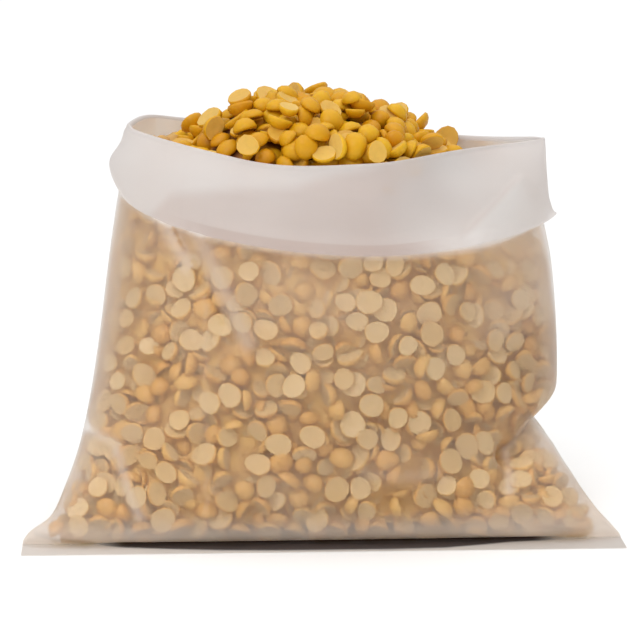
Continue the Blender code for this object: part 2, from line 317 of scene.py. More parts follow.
# The sheet's rows are closer together low down, where the film turns under the bag
wall_stations = np.concatenate([np.linspace(0.25, 3.0, 62, endpoint=False),
                                np.linspace(3.0, TOP, 138)])
angles = np.arange(AROUND) * 2 * math.pi / AROUND - math.pi / 2
station_grid, angle_grid = np.meshgrid(wall_stations, angles, indexing="ij")


def noise(points, wavelength, seed, waves=14):
    """Smooth noise between about -1 and 1: plane waves summed in random directions."""
    rng = np.random.default_rng(seed)
    total = np.zeros(points.shape[:-1])
    for _ in range(waves):
        direction = rng.normal(size=points.shape[-1])
        direction *= 2 * math.pi / (wavelength * rng.uniform(0.7, 1.5) * np.linalg.norm(direction))
        total += np.sin(points @ direction + rng.uniform(0, 2 * math.pi))
    return total / math.sqrt(waves)


def tube_edges(station, angle):
    """1 along the two sides, where the tube was pressed flat, and 0 away from them."""
    return np.exp(-(np.sin(angle) / 0.30) ** 2) * smooth_step((station - 1.5) / 2.0)


def right_top(point):
    """1 on the right of the film below the cuff, where it stands well off the peas."""
    return smooth_step((point[..., 0] - 0.030) / 0.030) \
        * smooth_step((point[..., 2] - 0.055) / 0.020)


# How far the film stands off the peas: everywhere, and added at the tube's flattened edges, at
# the bottom, under the cuff on the left, in soft patches, higher up and on the right at the top
OFF_ALL, OFF_EDGES, OFF_BOTTOM, OFF_LEFT_TOP = 0.0003, 0.0028, 0.0006, 0.0014
OFF_PATCHES, OFF_UPPER, OFF_RIGHT_TOP = 0.0012, 0.0010, 0.0010


def stand_off(station, angle):
    point = hung(station, angle)
    edges = tube_edges(station, angle)
    bottom = smooth_step((2.3 - station) / 1.2)
    left_top = np.exp(-((point[..., 0] + 0.040) / 0.022) ** 2
                      - ((point[..., 2] - 0.088) / 0.016) ** 2)
    patches = smooth_step(noise(point, 0.030, 3) * 0.9 - 0.1)
    upper = smooth_step((point[..., 2] - 0.040) / 0.035)
    return OFF_ALL + OFF_EDGES * edges + OFF_BOTTOM * bottom + OFF_LEFT_TOP * left_top \
        + OFF_PATCHES * patches + OFF_UPPER * upper + OFF_RIGHT_TOP * right_top(point)


wall_points = film(station_grid, angle_grid, FILM_OUT)
wall_points[..., 2] = np.maximum(wall_points[..., 2], 0.0002)

# Creases where the film stands up off the peas, pale, with haze and a painted highlight, and where
# it is drawn in, dark, painted shade: three places in x and z, the half-width, and the strength,
# below nought where it is dark
CREASES = [((-0.0480, 0.0990), (-0.0441, 0.0911), (-0.0395, 0.0830), 0.0024, 0.9),
           ((-0.0440, 0.0935), (-0.0400, 0.0850), (-0.0360, 0.0775), 0.0011, -0.8),
           ((-0.0385, 0.0965), (-0.0316, 0.0811), (-0.0225, 0.0615), 0.0026, 0.8),
           ((-0.0385, 0.0845), (-0.0345, 0.0765), (-0.0300, 0.0670), 0.0010, -0.7),
           ((-0.0700, 0.0325), (-0.0620, 0.0302), (-0.0605, 0.0250), 0.0016, 0.8),
           ((-0.0615, 0.0290), (-0.0571, 0.0153), (-0.0548, 0.0107), 0.0017, 1.0),
           ((-0.0852, 0.0046), (-0.0782, 0.0030), (-0.0690, 0.0016), 0.0007, -1.8),
           ((0.0632, 0.0347), (0.0582, 0.0280), (0.0549, 0.0256), 0.0010, 0.7),
           ((0.0552, 0.0262), (0.0556, 0.0215), (0.0552, 0.0165), 0.0014, 1.0),
           ((-0.0345, 0.1030), (-0.0347, 0.0600), (-0.0350, 0.0030), 0.0004, 0.30),
           ((0.0120, 0.0230), (0.0220, 0.0215), (0.0330, 0.0225), 0.0020, 0.3)]


def crease_light_and_shade(point):
    """Pale above nought, haze and a painted highlight, and dark below, painted shade, along
    each crease on the front film.
    """
    tone = np.zeros(point.shape[:-1])
    for first, second, third, width, strength in CREASES:
        for start, end in ((first, second), (second, third)):
            stroke = strength * np.exp(-(from_line(point, start, end) / width) ** 2)
            tone = np.where(np.abs(stroke) > np.abs(tone), stroke, tone)
    return tone * (point[..., 1] < 0.012)


# The skirt: both films lie flat in front of the seal, the front film just above the back one
SKIRT_ROWS = 25
SKIRT_LIFT = 0.0002
skirt_points = np.zeros((SKIRT_ROWS, AROUND, 3))
skirt_points[..., 0] = SKIRT_HALF * np.cos(angles)
skirt_down = (SEAL_Y - SKIRT_EDGE_Y) * np.arange(SKIRT_ROWS) / (SKIRT_ROWS - 1)
skirt_points[..., 1] = SKIRT_EDGE_Y + skirt_down[:, None]
skirt_points[..., 2] = SKIRT_LIFT + SKIRT_LIFT * (side_of(angles) < 0)

# What the film looks like from place to place: how much of it scatters white, and how dark
HAZE = 0.14                 # where the film lies on the peas
HAZE_PER_METRE = 36         # of the air between the film and the peas
under_cuff = smooth_step((station_grid - hem_station(angle_grid) + 0.10) / 0.15)
# Pale creases add haze and a painted highlight, dark creases add painted shade
crease = crease_light_and_shade(wall_points)
low_band = smooth_step((2.6 - station_grid) / 1.6)
wall_haze = HAZE + HAZE_PER_METRE * stand_off(station_grid, angle_grid) \
    + 0.64 * tube_edges(station_grid, angle_grid) + 0.76 * under_cuff + 0.48 * low_band \
    + np.where(crease > 0, 0.38, 0.12) * crease + 0.18 * right_top(wall_points) \
    + 0.03 * noise(wall_points, 0.020, 9)
# The gap over the seal, where the bag rolls forward onto its skirt, is in its own shadow, painted
# dark on the low front film and on the skirt, and reaching this far forward over the skirt: x, y
SHADOW_FRONT = [(-0.072, -0.0380), (-0.060, -0.0422), (-0.045, -0.0452), (-0.030, -0.0474),
                (-0.012, -0.0484), (0.020, -0.0486), (0.036, -0.0476), (0.046, -0.0448),
                (0.056, -0.0415), (0.068, -0.0397), (0.076, -0.0380)]


def in_seal_shadow(x):
    """1 between the two ends of the painted shadow over the seal, 0 past them."""
    return smooth_step((x + 0.070) / 0.012) * smooth_step((0.074 - x) / 0.012)


# Painted shadow over the seal: the front film's lowest rows are made hazier and shaded dark brown
seal_shadow_paint = smooth_step((0.52 - station_grid) / 0.20) * (np.sin(angle_grid) < 0) \
    * in_seal_shadow(wall_points[..., 0])
wall_haze = np.clip(wall_haze + 0.7 * seal_shadow_paint, 0.0, 0.95)
shadow_x, shadow_y = np.array(SHADOW_FRONT).T
reach_front = np.interp(skirt_points[..., 0], shadow_x, shadow_y)
# Painted shadow on the skirt, from the seal forward to the line above, hazier and shaded dark brown
skirt_shadow_paint = smooth_step((skirt_points[..., 1] - reach_front) / 0.0024 + 0.5) \
    * in_seal_shadow(skirt_points[..., 0])
wall_haze = np.concatenate([0.80 + 0.15 * skirt_shadow_paint, wall_haze])
skirt_shade = 0.17 + 0.07 * smooth_step(skirt_points[..., 0] / 0.060)
# The shade: on the skirt a grey tint, darker towards the right, under the painted shadow; on the
# film the painted shadow over the seal and painted shade in the dark creases
wall_shade = np.concatenate([skirt_shade + (0.94 - skirt_shade) * skirt_shadow_paint,
                             np.clip(seal_shadow_paint - 0.14 * np.minimum(crease, 0), 0, 1)])
wall_points = np.concatenate([skirt_points, wall_points])


def keep_attribute(made, name, values):
    attribute = made.data.attributes.new(name, "FLOAT", "POINT")
    attribute.data.foreach_set("value", np.ascontiguousarray(values, dtype=np.float32).ravel())


def milky_film(name, colour, dense, shaded):
    """Thin milky polyethylene: part of the light passes, blurred, and part scatters white.
    The sheet's haze attribute is the part that scatters, which is whiter where it is densest,
    and its shade attribute is the way to the dark colour: painted shade and shadow where the
    sheet is darkened for them, and elsewhere a darker tint."""
    material, tree = start_material(name)
    texture = node(tree, "ShaderNodeTexCoord").outputs["Object"]
    crumple = node(tree, "ShaderNodeTexNoise", Vector=texture, Scale=90.0, Detail=4.0,
                   Roughness=0.55)
    bump = node(tree, "ShaderNodeBump", Strength=0.2, Distance=0.001, Height=crumple)
    clear = node(tree, "ShaderNodeBsdfTransparent", Color=(0.97, 0.95, 0.94, 1))
    # The index is 1.25 from the front and 0.8 from behind, so a thin sheet traps no ray
    back_side = node(tree, "ShaderNodeNewGeometry").outputs["Backfacing"]
    index = maths(tree, "MULTIPLY_ADD", back_side, -0.45, 1.25)
    blurred = node(tree, "ShaderNodeBsdfRefraction", Color=(0.98, 0.96, 0.94, 1), Roughness=0.40,
                   IOR=index)
    through = mix_shader(tree, 0.92, clear, blurred)
    haze = read_attribute(tree, "haze")
    density = node(tree, "ShaderNodeMapRange", Value=haze, From_Min=0.70, From_Max=0.92)
    white = mix_colour(tree, density, hex_colour(colour), hex_colour(dense))
    tint = mix_colour(tree, read_attribute(tree, "shade"), white, hex_colour(shaded))
    front = node(tree, "ShaderNodeBsdfDiffuse", Color=tint, Normal=bump)
    behind = node(tree, "ShaderNodeBsdfTranslucent", Color=tint, Normal=bump)
    body = mix_shader(tree, haze, through, mix_shader(tree, 0.35, front, behind))
    gloss = node(tree, "ShaderNodeBsdfAnisotropic", Color=(1, 1, 1, 1), Roughness=0.6, Normal=bump)
    sheen = maths(tree, "MULTIPLY", node(tree, "ShaderNodeFresnel", IOR=1.3), 0.3)
    coated = mix_shader(tree, sheen, body, gloss)
    shadow = node(tree, "ShaderNodeBsdfTransparent", Color=(0.95, 0.94, 0.93, 1))
    in_shadow = node(tree, "ShaderNodeLightPath").outputs["Is Shadow Ray"]
    node(tree, "ShaderNodeOutputMaterial", Surface=mix_shader(tree, in_shadow, coated, shadow))
    return material


wall = grid_object("film_wall", wall_points, closed=True)
keep_attribute(wall, "haze", wall_haze)
keep_attribute(wall, "shade", wall_shade)
wall.data.materials.append(milky_film("milky blown polyethylene", "#E6DCD2", "#F6F5F4",
                                      "#2E0E02"))
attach(wall, "root")
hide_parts("film_bag")

# The cuff
# The top of the same tube of film, turned inside out over the rim and hanging down outside
# the wall. Its own stiffness holds it, and a narrow hem runs along its edge.
CUFF_ROWS = 60
HEM_BAND = 0.86             # where the folded hem begins, as a share of the way down


def cuff_out(angle, down):
    """How far the cuff stands off the wall: it billows, and flares at the hem on the right."""
    right = at_right(angle, 0.22)
    left = at_left(angle, 0.5)
    round_ = np.stack([np.cos(angle), np.sin(angle), 2 * down + 0 * angle], -1)
    billow = 0.0012 * np.sin(math.pi * down) * (1 + noise(round_, 1.6, 8))
    return 0.0018 + 0.0006 * down + left * (0.0002 + 0.0011 * down - 0.0022 * down ** 8) \
        + billow * (1 - 0.8 * right) + right * (0.0030 * down ** 8 - 0.0008)


# A fold runs across the right side of its front, and the film below it stands proud
FOLD_FROM = np.array((0.0590, 0.1040))
FOLD_ALONG = np.array((-0.802, -0.598))
FOLD_LENGTH = 0.0240


def cuff_fold(point):
    """How far above the fold's line a point is, and 1 beside the fold, 0 past its ends."""
    offset = point[..., [0, 2]] - FOLD_FROM
    above = offset @ np.array((FOLD_ALONG[1], -FOLD_ALONG[0]))
    along = offset @ FOLD_ALONG
    beside = smooth_step((along + 0.004) / 0.006) * smooth_step((FOLD_LENGTH - along) / 0.006)
    return above, beside * (point[..., 1] < 0)


cuff_rows = []
for down in np.linspace(0.02, 1.0, CUFF_ROWS):
    station = TOP - (TOP - hem_station(angles)) * down
    above, beside = cuff_fold(hung(station, angles))
    proud = 0.0011 * beside * smooth_step(0.5 - above / 0.003) * np.exp(-(above / 0.012) ** 2)
    cuff_rows.append(film(station, angles, cuff_out(angles, down) + proud))
# Between the wall and the cuff the film rolls over the rim in a small half round
ROLL_ROWS = 6
ROLL_HIGH = 0.0011
rim_row = film(np.full(AROUND, float(TOP)), angles, FILM_OUT)
roll_rows = []
for k in range(1, ROLL_ROWS + 1):
    turn = math.pi * k / (ROLL_ROWS + 1)
    mixed = rim_row + (cuff_rows[0] - rim_row) * (1 - math.cos(turn)) / 2
    mixed[:, 2] += ROLL_HIGH * math.sin(turn)
    roll_rows.append(mixed)
# From the hem up to the rim, so that its faces point outwards
cuff_points = np.array([rim_row] + roll_rows + cuff_rows)[::-1]
downs = np.concatenate([np.zeros(ROLL_ROWS + 1), np.linspace(0.02, 1.0, CUFF_ROWS)])[::-1, None] \
    + 0 * angles
cuff = grid_object("film_cuff", cuff_points, closed=True)
# Where the peas lean on it from inside, the cuff is painted darker, painted shade: below this
# line, x and height
PALE_ABOVE = [(-0.0620, 0.0850), (-0.0445, 0.1040), (-0.0240, 0.1068), (-0.0080, 0.1074),
              (0.0035, 0.1106), (0.0280, 0.1150), (0.0450, 0.1190)]
line_x, line_z = np.array(PALE_ABOVE).T
below_line = np.interp(cuff_points[..., 0], line_x, line_z) - cuff_points[..., 2]
leaning_shade = smooth_step(0.5 + below_line / 0.0045) \
    * smooth_step((0.040 - cuff_points[..., 0]) / 0.030)
hem_band = smooth_step((downs - HEM_BAND) / 0.03) \
    * smooth_step((cuff_points[..., 0] + 0.048) / 0.020) \
    * smooth_step((0.042 - cuff_points[..., 0]) / 0.020)
above, beside = cuff_fold(cuff_points)
fold_shade_line = beside * np.exp(-((above - 0.0006) / 0.0009) ** 2)
below_fold_light = beside * smooth_step(0.3 - above / 0.002) * np.exp(-(above / 0.014) ** 2)
# The cuff's shade: a darker tint all over, painted shade where the peas lean on it and along the
# fold's line, darker along the hem band, a random tone, and painted light on the proud film below
# the fold
cuff_shade = 0.32 + 0.30 * leaning_shade + 0.30 * hem_band + 0.04 * noise(cuff_points, 0.025, 13) \
    + 0.12 * fold_shade_line - 0.18 * below_fold_light
keep_attribute(cuff, "haze", 0.93 - 0.05 * leaning_shade + 0 * downs)
keep_attribute(cuff, "shade", np.clip(cuff_shade, 0.0, 1.0))
cuff.data.materials.append(milky_film("milky polyethylene, cuff", "#E6E5E4", "#E6E5E4",
                                      "#C2B2AC"))
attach(cuff, "root")
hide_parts("film_bag")

# The split chickpeas
# Half chickpeas, hulled and dried: one side domed, the other the nearly flat face where the
# seed split, paler. They are poured, so a bed of them is settled under gravity.
PEA_LENGTH = 0.0075
PEA_WIDTH = 0.0067
PEA_DOME = 0.0031
VARIANTS = 6
# A pea's profile from the top of its dome to the middle of its split face: radius as a share
# of the widest, height as a share of the dome
PEA_PROFILE = [(0.0, 1.0), (0.50, 0.88), (0.86, 0.52), (1.0, 0.14), (0.94, -0.09), (0.5, -0.05),
               (0.0, 0.0)]


def make_pea(number, sides, scale=1.0):
    """One half chickpea: an uneven round with a small beak, domed above and flat below."""
    rng = random.Random(100 + number)
    phase = [rng.uniform(0, 2 * math.pi) for _ in range(3)]
    beak = rng.uniform(0.03, 0.11)
    dome = PEA_DOME * rng.uniform(0.85, 1.15)
    verts, faces = [], []
    for share, height in PEA_PROFILE:
        if share == 0.0:
            verts.append((0.0, 0.0, height * dome * scale))
            continue
        for k in range(sides):
            around = 2 * math.pi * k / sides
            outline = 1 + 0.04 * math.cos(2 * around + phase[0]) \
                + 0.03 * math.cos(3 * around + phase[1])
            outline += beak * math.exp(-((around - 1.0) / 0.45) ** 2)
            verts.append((math.cos(around) * PEA_LENGTH / 2 * share * outline * scale,
                          math.sin(around) * PEA_WIDTH / 2 * share * outline * scale,
                          height * dome * scale))
    rings = len(PEA_PROFILE) - 2
    for k in range(sides):
        after = (k + 1) % sides
        faces.append((0, 1 + k, 1 + after))
        for ring in range(rings - 1):
            low = 1 + ring * sides
            faces.append((low + k, low + sides + k, low + sides + after, low + after))
        low = 1 + (rings - 1) * sides
        faces.append((low + k, len(verts) - 1, low + after))
    data = bpy.data.meshes.new("pea_%d" % number)
    data.from_pydata(verts, [], faces)
    data.shade_smooth()
    split = [(f.index % (rings + 1)) >= rings - 1 for f in data.polygons]
    data.polygons.foreach_set("use_smooth", [not flat for flat in split])
    face = data.attributes.new("split_face", "FLOAT", "FACE")
    face.data.foreach_set("value", [1.0 if flat else 0.0 for flat in split])
    return data


SIM = 100.0                 # the bed is settled a hundred times life size, which suits the solver


def settle(places, walls, frames, friction):
    """Drops peas at the places given, (x, y, z, turn, variant), onto fixed walls."""
    shapes = [make_pea(k, 8, SIM) for k in range(VARIANTS)]
    peas = []
    for x, y, z, turn, variant in places:
        pea = add_object("settling", shapes[variant])
        pea.matrix_world = Matrix.LocRotScale(Vector((x, y, z)) * SIM, turn, None)
        peas.append(pea)
    bpy.ops.rigidbody.world_add()
    world = scene.rigidbody_world
    world.substeps_per_frame = 4
    world.solver_iterations = 10
    world.point_cache.frame_end = frames
    scene.gravity = (0, 0, -60)
    for group, kind in ((peas, "ACTIVE"), (walls, "PASSIVE")):
        bpy.ops.object.select_all(action="DESELECT")
        for thing in group:
            thing.select_set(True)
        bpy.context.view_layer.objects.active = group[0]
        bpy.ops.rigidbody.objects_add(type=kind)
        for thing in group:
            body = thing.rigid_body
            body.collision_shape = "CONVEX_HULL" if kind == "ACTIVE" else "MESH"
            body.friction = friction
            body.use_margin = True
            body.collision_margin = 0.0
            body.linear_damping = 0.1
            body.angular_damping = 0.25
    for number in range(1, frames + 1):
        scene.frame_set(number)
    graph = bpy.context.evaluated_depsgraph_get()
    result = []
    for pea in peas:
        where, turn, _ = pea.evaluated_get(graph).matrix_world.decompose()
        result.append((np.array(where) / SIM, np.array(turn.to_matrix())))
    bpy.ops.rigidbody.world_remove()
    for thing in peas + walls:
        bpy.data.objects.remove(thing)
    scene.frame_set(1)
    return result


def random_turn(rng):
    axis = Vector([rng.gauss(0, 1) for _ in range(3)]).normalized()
    return Matrix.Rotation(rng.uniform(0, 2 * math.pi), 3, axis).to_quaternion()


# The peas against the film
# They are settled as a flat bed as long as the bag is round, on a floor with low bumps, then
# the bed is wrapped round inside the film: a pea that lay flat on the floor lies on the film.
BED_ROUND = 0.360
BED_DOWN = 0.128
BED_LAYERS = 4
BED_COLUMNS = 46
BED_ROWS = 16
BED_START = 0.003           # the bed's upper edge, below the rim
BED_BUMPS = 0.0020
BED_FIRST = 0.007           # the height that its first layer falls from, and each next one's
BED_STEP = 0.0085
BED_HIGH = 0.14

rng = random.Random(11)
bed = []
for layer in range(BED_LAYERS):
    for i in range(BED_COLUMNS):
        for j in range(BED_ROWS):
            bed.append(((i + 0.5 + rng.uniform(-0.25, 0.25)) * BED_ROUND / BED_COLUMNS,
                        (j + 0.5 + rng.uniform(-0.25, 0.25)) * BED_DOWN / BED_ROWS,
                        BED_FIRST + layer * BED_STEP, random_turn(rng), rng.randrange(VARIANTS)))
corners = [(0, 0), (BED_ROUND, 0), (BED_ROUND, BED_DOWN), (0, BED_DOWN)]
tray = grid_object("tray", np.array([[(x, y, z) for x, y in corners] for z in (-0.01, BED_HIGH)])
                   * SIM, closed=True)
floor_x, floor_y = np.meshgrid(np.linspace(-0.01, BED_ROUND + 0.01, 190),
                               np.linspace(-0.01, BED_DOWN + 0.01, 74), indexing="ij")
bumps = np.clip(noise(np.stack([floor_x, floor_y], axis=-1), 0.011, 17, 24), 0.0, 1.6) * BED_BUMPS
tray_floor = grid_object("tray_floor", np.stack([floor_x, floor_y, bumps], axis=-1) * SIM,
                         closed=False)
settled = settle(bed, [tray, tray_floor], frames=32, friction=0.6)

STEPS_ROUND = 180
fine_angles = np.linspace(math.pi / 2, math.pi / 2 + 2 * math.pi, 4 * STEPS_ROUND + 1)
middle_ring = inner_face(np.full(len(fine_angles), 6.0), fine_angles)
ring_length = np.concatenate([[0], np.cumsum(np.linalg.norm(np.diff(middle_ring, axis=0), axis=1))])
down_stations = np.linspace(TOP, 0.3, 200)
grid_s, grid_a = np.meshgrid(down_stations, fine_angles[::4], indexing="ij")
down_points = hung(grid_s, grid_a)
down_steps = np.linalg.norm(np.diff(down_points, axis=0), axis=2)
down_length = np.concatenate([np.zeros((1, grid_a.shape[1])), np.cumsum(down_steps, axis=0)])

bed_places = np.array([place for place, turn in settled])
bed_turns = np.array([turn for place, turn in settled])
bed_variant = np.array([item[4] for item in bed])
size_rng = np.random.default_rng(21)
bed_size = size_rng.uniform(0.84, 1.12, (len(bed), 1)) * size_rng.uniform(0.93, 1.07, (len(bed), 3))
pea_angle = np.interp(bed_places[:, 0] / BED_ROUND * ring_length[-1], ring_length, fine_angles)
pea_column = np.round((pea_angle - fine_angles[0]) / (2 * math.pi) * STEPS_ROUND).astype(int)
pea_column = np.clip(pea_column, 0, STEPS_ROUND)
pea_down = bed_places[:, 1] + BED_START
pea_station = np.array([np.interp(d, down_length[:, c], down_stations)
                        for d, c in zip(pea_down, pea_column)])
on_film = hung(pea_station, pea_angle)
outward = normals(hung, pea_station, pea_angle)
depth = bed_places[:, 2] + stand_off(pea_station, pea_angle)
thickness = np.linalg.norm(on_film - hung(pea_station, -pea_angle), axis=1)
# Kept are the peas above the seal, where the bag has room for one, this side of its middle
NARROWEST = 0.0045
DEEPEST = 0.016
fits = (pea_down < down_length[-1, pea_column] - 0.003) & (thickness > NARROWEST)
fits &= (depth < np.maximum(0.55 * thickness, 0.003)) & (depth > 0) & (depth < DEEPEST)
upward = hung(np.minimum(pea_station + 0.05, TOP), pea_angle) - hung(pea_station - 0.05, pea_angle)
upward -= outward * np.sum(upward * outward, axis=1)[:, None]
upward /= np.linalg.norm(upward, axis=1)[:, None]
sideways = np.cross(outward, upward)
# On the bed, x runs round the bag, y runs down the film and z runs away from the film
axes = np.stack([-sideways, -upward, -outward], axis=-1)
axes[np.linalg.det(axes) < 0, :, 0] *= -1
wrapped_turns = axes @ bed_turns
wrapped_places = on_film - outward * depth[:, None]

# A pea that would poke through the film is moved back inside it
PEA_CLEARANCE = 0.00015
inner_grid = hung(station_grid, angle_grid)
inner_tree = BVHTree.FromPolygons(
    [tuple(p) for p in inner_grid.reshape(-1, 3)],
    [(low + c, low + (c + 1) % AROUND, low + AROUND + (c + 1) % AROUND, low + AROUND + c)
     for low in range(0, (len(wall_stations) - 1) * AROUND, AROUND) for c in range(AROUND)])
outer_verts = [np.array([v.co for v in make_pea(k, 6).vertices]) for k in range(VARIANTS)]


def pushed_inside(place, turn, variant, size):
    """The place, moved inward until no corner of the pea is outside the film."""
    place = np.array(place)
    for _ in range(4):
        worst, way = 0.0, None
        for corner in (outer_verts[variant] * size) @ turn.T + place:
            near, normal, _, _ = inner_tree.find_nearest(Vector(corner))
            outside = (Vector(corner) - near).dot(normal) + PEA_CLEARANCE
            if outside > worst:
                worst, way = outside, normal
        if way is None:
            break
        place = place - np.array(way) * worst
    return place, worst


def places_tree(places):
    tree = KDTree(len(places))
    for number, place in enumerate(places):
        tree.insert(Vector(place), number)
    tree.balance()
    return tree


# The settled peas nearest the film lie flatter than poured ones do, so some are tilted
NEAREST = 0.007
STILL_OUT = 0.0003          # a pea that pokes further through the film than this is left out
TILTED = 0.50
TILT_LEAST, TILT_MOST = 25, 80
tilt_rng = random.Random(3)
for k in np.nonzero(fits)[0]:
    if depth[k] < NEAREST:
        if tilt_rng.random() < TILTED:
            way = tilt_rng.uniform(0, 2 * math.pi)
            axis = Vector(axes[k] @ np.array((math.cos(way), math.sin(way), 0)))
            lean = math.radians(tilt_rng.uniform(TILT_LEAST, TILT_MOST))
            wrapped_turns[k] = np.array(Matrix.Rotation(lean, 3, axis)) @ wrapped_turns[k]
        wrapped_places[k], left_over = pushed_inside(wrapped_places[k], wrapped_turns[k],
                                                     bed_variant[k], bed_size[k])
        fits[k] = left_over < STILL_OUT

# Of two such peas that would lie in the same place, one is left out
OVERLAP_FLAT = 0.0042
OVERLAP_DEEP = 0.0014
nearest = [k for k in np.nonzero(fits)[0] if depth[k] < NEAREST]
near_tree = places_tree(wrapped_places[nearest])
for number, k in enumerate(nearest):
    for _, other, _ in near_tree.find_range(Vector(wrapped_places[k]), OVERLAP_FLAT):
        if other < number and fits[nearest[other]]:
            between = wrapped_places[k] - wrapped_places[nearest[other]]
            if abs(between @ outward[k]) < OVERLAP_DEEP:
                fits[k] = False

# The peas on the bag's flat base: a piece of the same bed, laid on the floor inside the film
BASE_CORNER = (0.020, 0.020)
BASE_SIZE = (0.172, 0.072)
BASE_AT = (-0.086, -0.041)
BASE_LIFT = 0.0010
BASE_DEEP = 0.009
BASE_INSIDE = 0.0005        # its peas start at least this far inside the film
BASE_STILL_OUT = 0.0004
BASE_APART = 0.0035         # and they keep this far from the peas on the film
on_base = np.all((bed_places > (*BASE_CORNER, 0))
                 & (bed_places < (*np.add(BASE_CORNER, BASE_SIZE), BASE_DEEP)), axis=1)
wrapped_tree = places_tree(wrapped_places[fits])
base, base_places = [], []
for k in np.nonzero(on_base)[0]:
    place = bed_places[k] - np.array((*BASE_CORNER, 0)) + np.array((*BASE_AT, BASE_LIFT))
    near, normal, _, _ = inner_tree.find_nearest(Vector(place))
    if (Vector(place) - near).dot(normal) > -BASE_INSIDE:
        continue
    place, left_over = pushed_inside(place, bed_turns[k], bed_variant[k], bed_size[k])
    if left_over < BASE_STILL_OUT and wrapped_tree.find(Vector(place))[2] > BASE_APART:
        base.append(k)
        base_places.append(place)


def point_cloud(name, places, turns, variants, sizes, seed):
    """Points that carry each pea's turn, shape, size and tone, for the nodes that lay them."""
    rng = np.random.default_rng(seed)
    mesh = bpy.data.meshes.new(name)
    mesh.from_pydata([tuple(p) for p in places], [], [])
    for attribute, kind, key, values in (
            ("turn", "QUATERNION", "value", np.array([Matrix(t).to_quaternion() for t in turns])),
            ("variant", "INT", "value", np.array(variants, dtype=np.int32)),
            ("tone", "FLOAT", "value", rng.random(len(places), dtype=np.float32)),
            ("size", "FLOAT_VECTOR", "vector", np.array(sizes, dtype=np.float32))):
        made = mesh.attributes.new(attribute, kind, "POINT")
        made.data.foreach_set(key, np.ascontiguousarray(values).ravel())
    return add_object(name, mesh)


def pea_shapes(name, sides):
    collection = bpy.data.collections.new(name)
    for k in range(VARIANTS):
        pea = bpy.data.objects.new("%s_%d" % (name, k), make_pea(k, sides))
        collection.objects.link(pea)
    return collection


def lay_peas(cloud, shapes, scale, material):
    """Lays one of the pea shapes on every point, turned and sized as the point says, and keeps
    the result as a plain mesh."""
    tree = bpy.data.node_groups.new("peas on points", "GeometryNodeTree")
    for way in ("INPUT", "OUTPUT"):
        tree.interface.new_socket("Geometry", in_out=way, socket_type="NodeSocketGeometry")
    turn, variant, size = [
        node(tree, "GeometryNodeInputNamedAttribute", {"data_type": kind}, Name=name)
        for name, kind in (("turn", "QUATERNION"), ("variant", "INT"), ("size", "FLOAT_VECTOR"))]
    peas = node(tree, "GeometryNodeCollectionInfo", {"transform_space": "ORIGINAL"},
                Collection=shapes, Separate_Children=True, Reset_Children=True)
    sized = node(tree, "ShaderNodeVectorMath", {"operation": "SCALE"}, in0=size, Scale=scale)
    laid = node(tree, "GeometryNodeInstanceOnPoints", Points=node(tree, "NodeGroupInput"),
                Instance=peas, Pick_Instance=True, Instance_Index=variant, Rotation=turn,
                Scale=sized)
    real = node(tree, "GeometryNodeRealizeInstances", Geometry=laid)
    dressed = node(tree, "GeometryNodeSetMaterial", Geometry=real, Material=material)
    node(tree, "NodeGroupOutput", Geometry=dressed)
    cloud.modifiers.new("peas", "NODES").node_group = tree
    graph = bpy.context.evaluated_depsgraph_get()
    plain_mesh = bpy.data.meshes.new_from_object(cloud.evaluated_get(graph))
    cloud.modifiers.clear()
    cloud.data = plain_mesh


def split_chickpea(name, domes, faces, passes):
    """Dry cotyledon: waxy golden yellow, the split face paler, duller and slightly mealy.
    A share of the light passes through it, golden, and brightens the gaps behind."""
    material, tree = start_material(name)
    tone = read_attribute(tree, "tone")
    texture = node(tree, "ShaderNodeTexCoord").outputs["Object"]
    mottle = node(tree, "ShaderNodeTexNoise", Vector=texture, Scale=500.0, Detail=3.0)
    golden, mealy = [node(tree, "ShaderNodeValToRGB", Fac=tone) for _ in range(2)]
    for ramp, colours in ((golden, domes), (mealy, faces)):
        for element, colour in zip(ramp.color_ramp.elements, colours):
            element.color = hex_colour(colour)
    pale = mix_colour(tree, read_attribute(tree, "split_face"), golden, mealy)
    value = node(tree, "ShaderNodeMapRange", Value=mottle, To_Min=0.88, To_Max=1.12)
    varied = node(tree, "ShaderNodeHueSaturation", Color=pale, Value=value)
    shader = node(tree, "ShaderNodeBsdfPrincipled", Base_Color=varied, Roughness=0.45,
                  Specular_IOR_Level=0.3, Subsurface_Weight=0.15, Subsurface_Scale=1.0,
                  Subsurface_Radius=(0.0016, 0.0009, 0.0003))
    golden_light = node(tree, "ShaderNodeBsdfTransparent", Color=(0.97, 0.89, 0.62, 1))
    in_shadow = node(tree, "ShaderNodeLightPath").outputs["Is Shadow Ray"]
    either = mix_shader(tree, maths(tree, "MULTIPLY", in_shadow, passes), shader, golden_light)
    node(tree, "ShaderNodeOutputMaterial", Surface=either)
    return material


chickpea = split_chickpea("hulled split chickpea", ("#CB8C06", "#DCAA14"),
                          ("#D2A23E", "#DCB55E"), 0.14)
# Against the film the peas are chalky, because their flour sticks to it
floury_chickpea = split_chickpea("floury split chickpea", ("#BE8F4A", "#C9A15C"),
                                 ("#BE9F6B", "#C6AC80"), 0.92)
front_shapes, other_shapes = pea_shapes("front_pea", 12), pea_shapes("other_pea", 10)
in_front, behind = fits & (np.sin(pea_angle) < 0), fits & (np.sin(pea_angle) >= 0)
for name, chosen, places, turns, shapes, seed in (
        ("peas_front", in_front, wrapped_places[in_front], wrapped_turns, front_shapes, 21),
        ("peas_back", behind, wrapped_places[behind], wrapped_turns, other_shapes, 22),
        ("peas_base", base, base_places, bed_turns, other_shapes, 23)):
    cloud = point_cloud(name, places, turns[chosen], bed_variant[chosen], bed_size[chosen], seed)
    lay_peas(cloud, shapes, 1.0, floury_chickpea)
    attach(cloud, "root")
    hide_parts("split_peas")

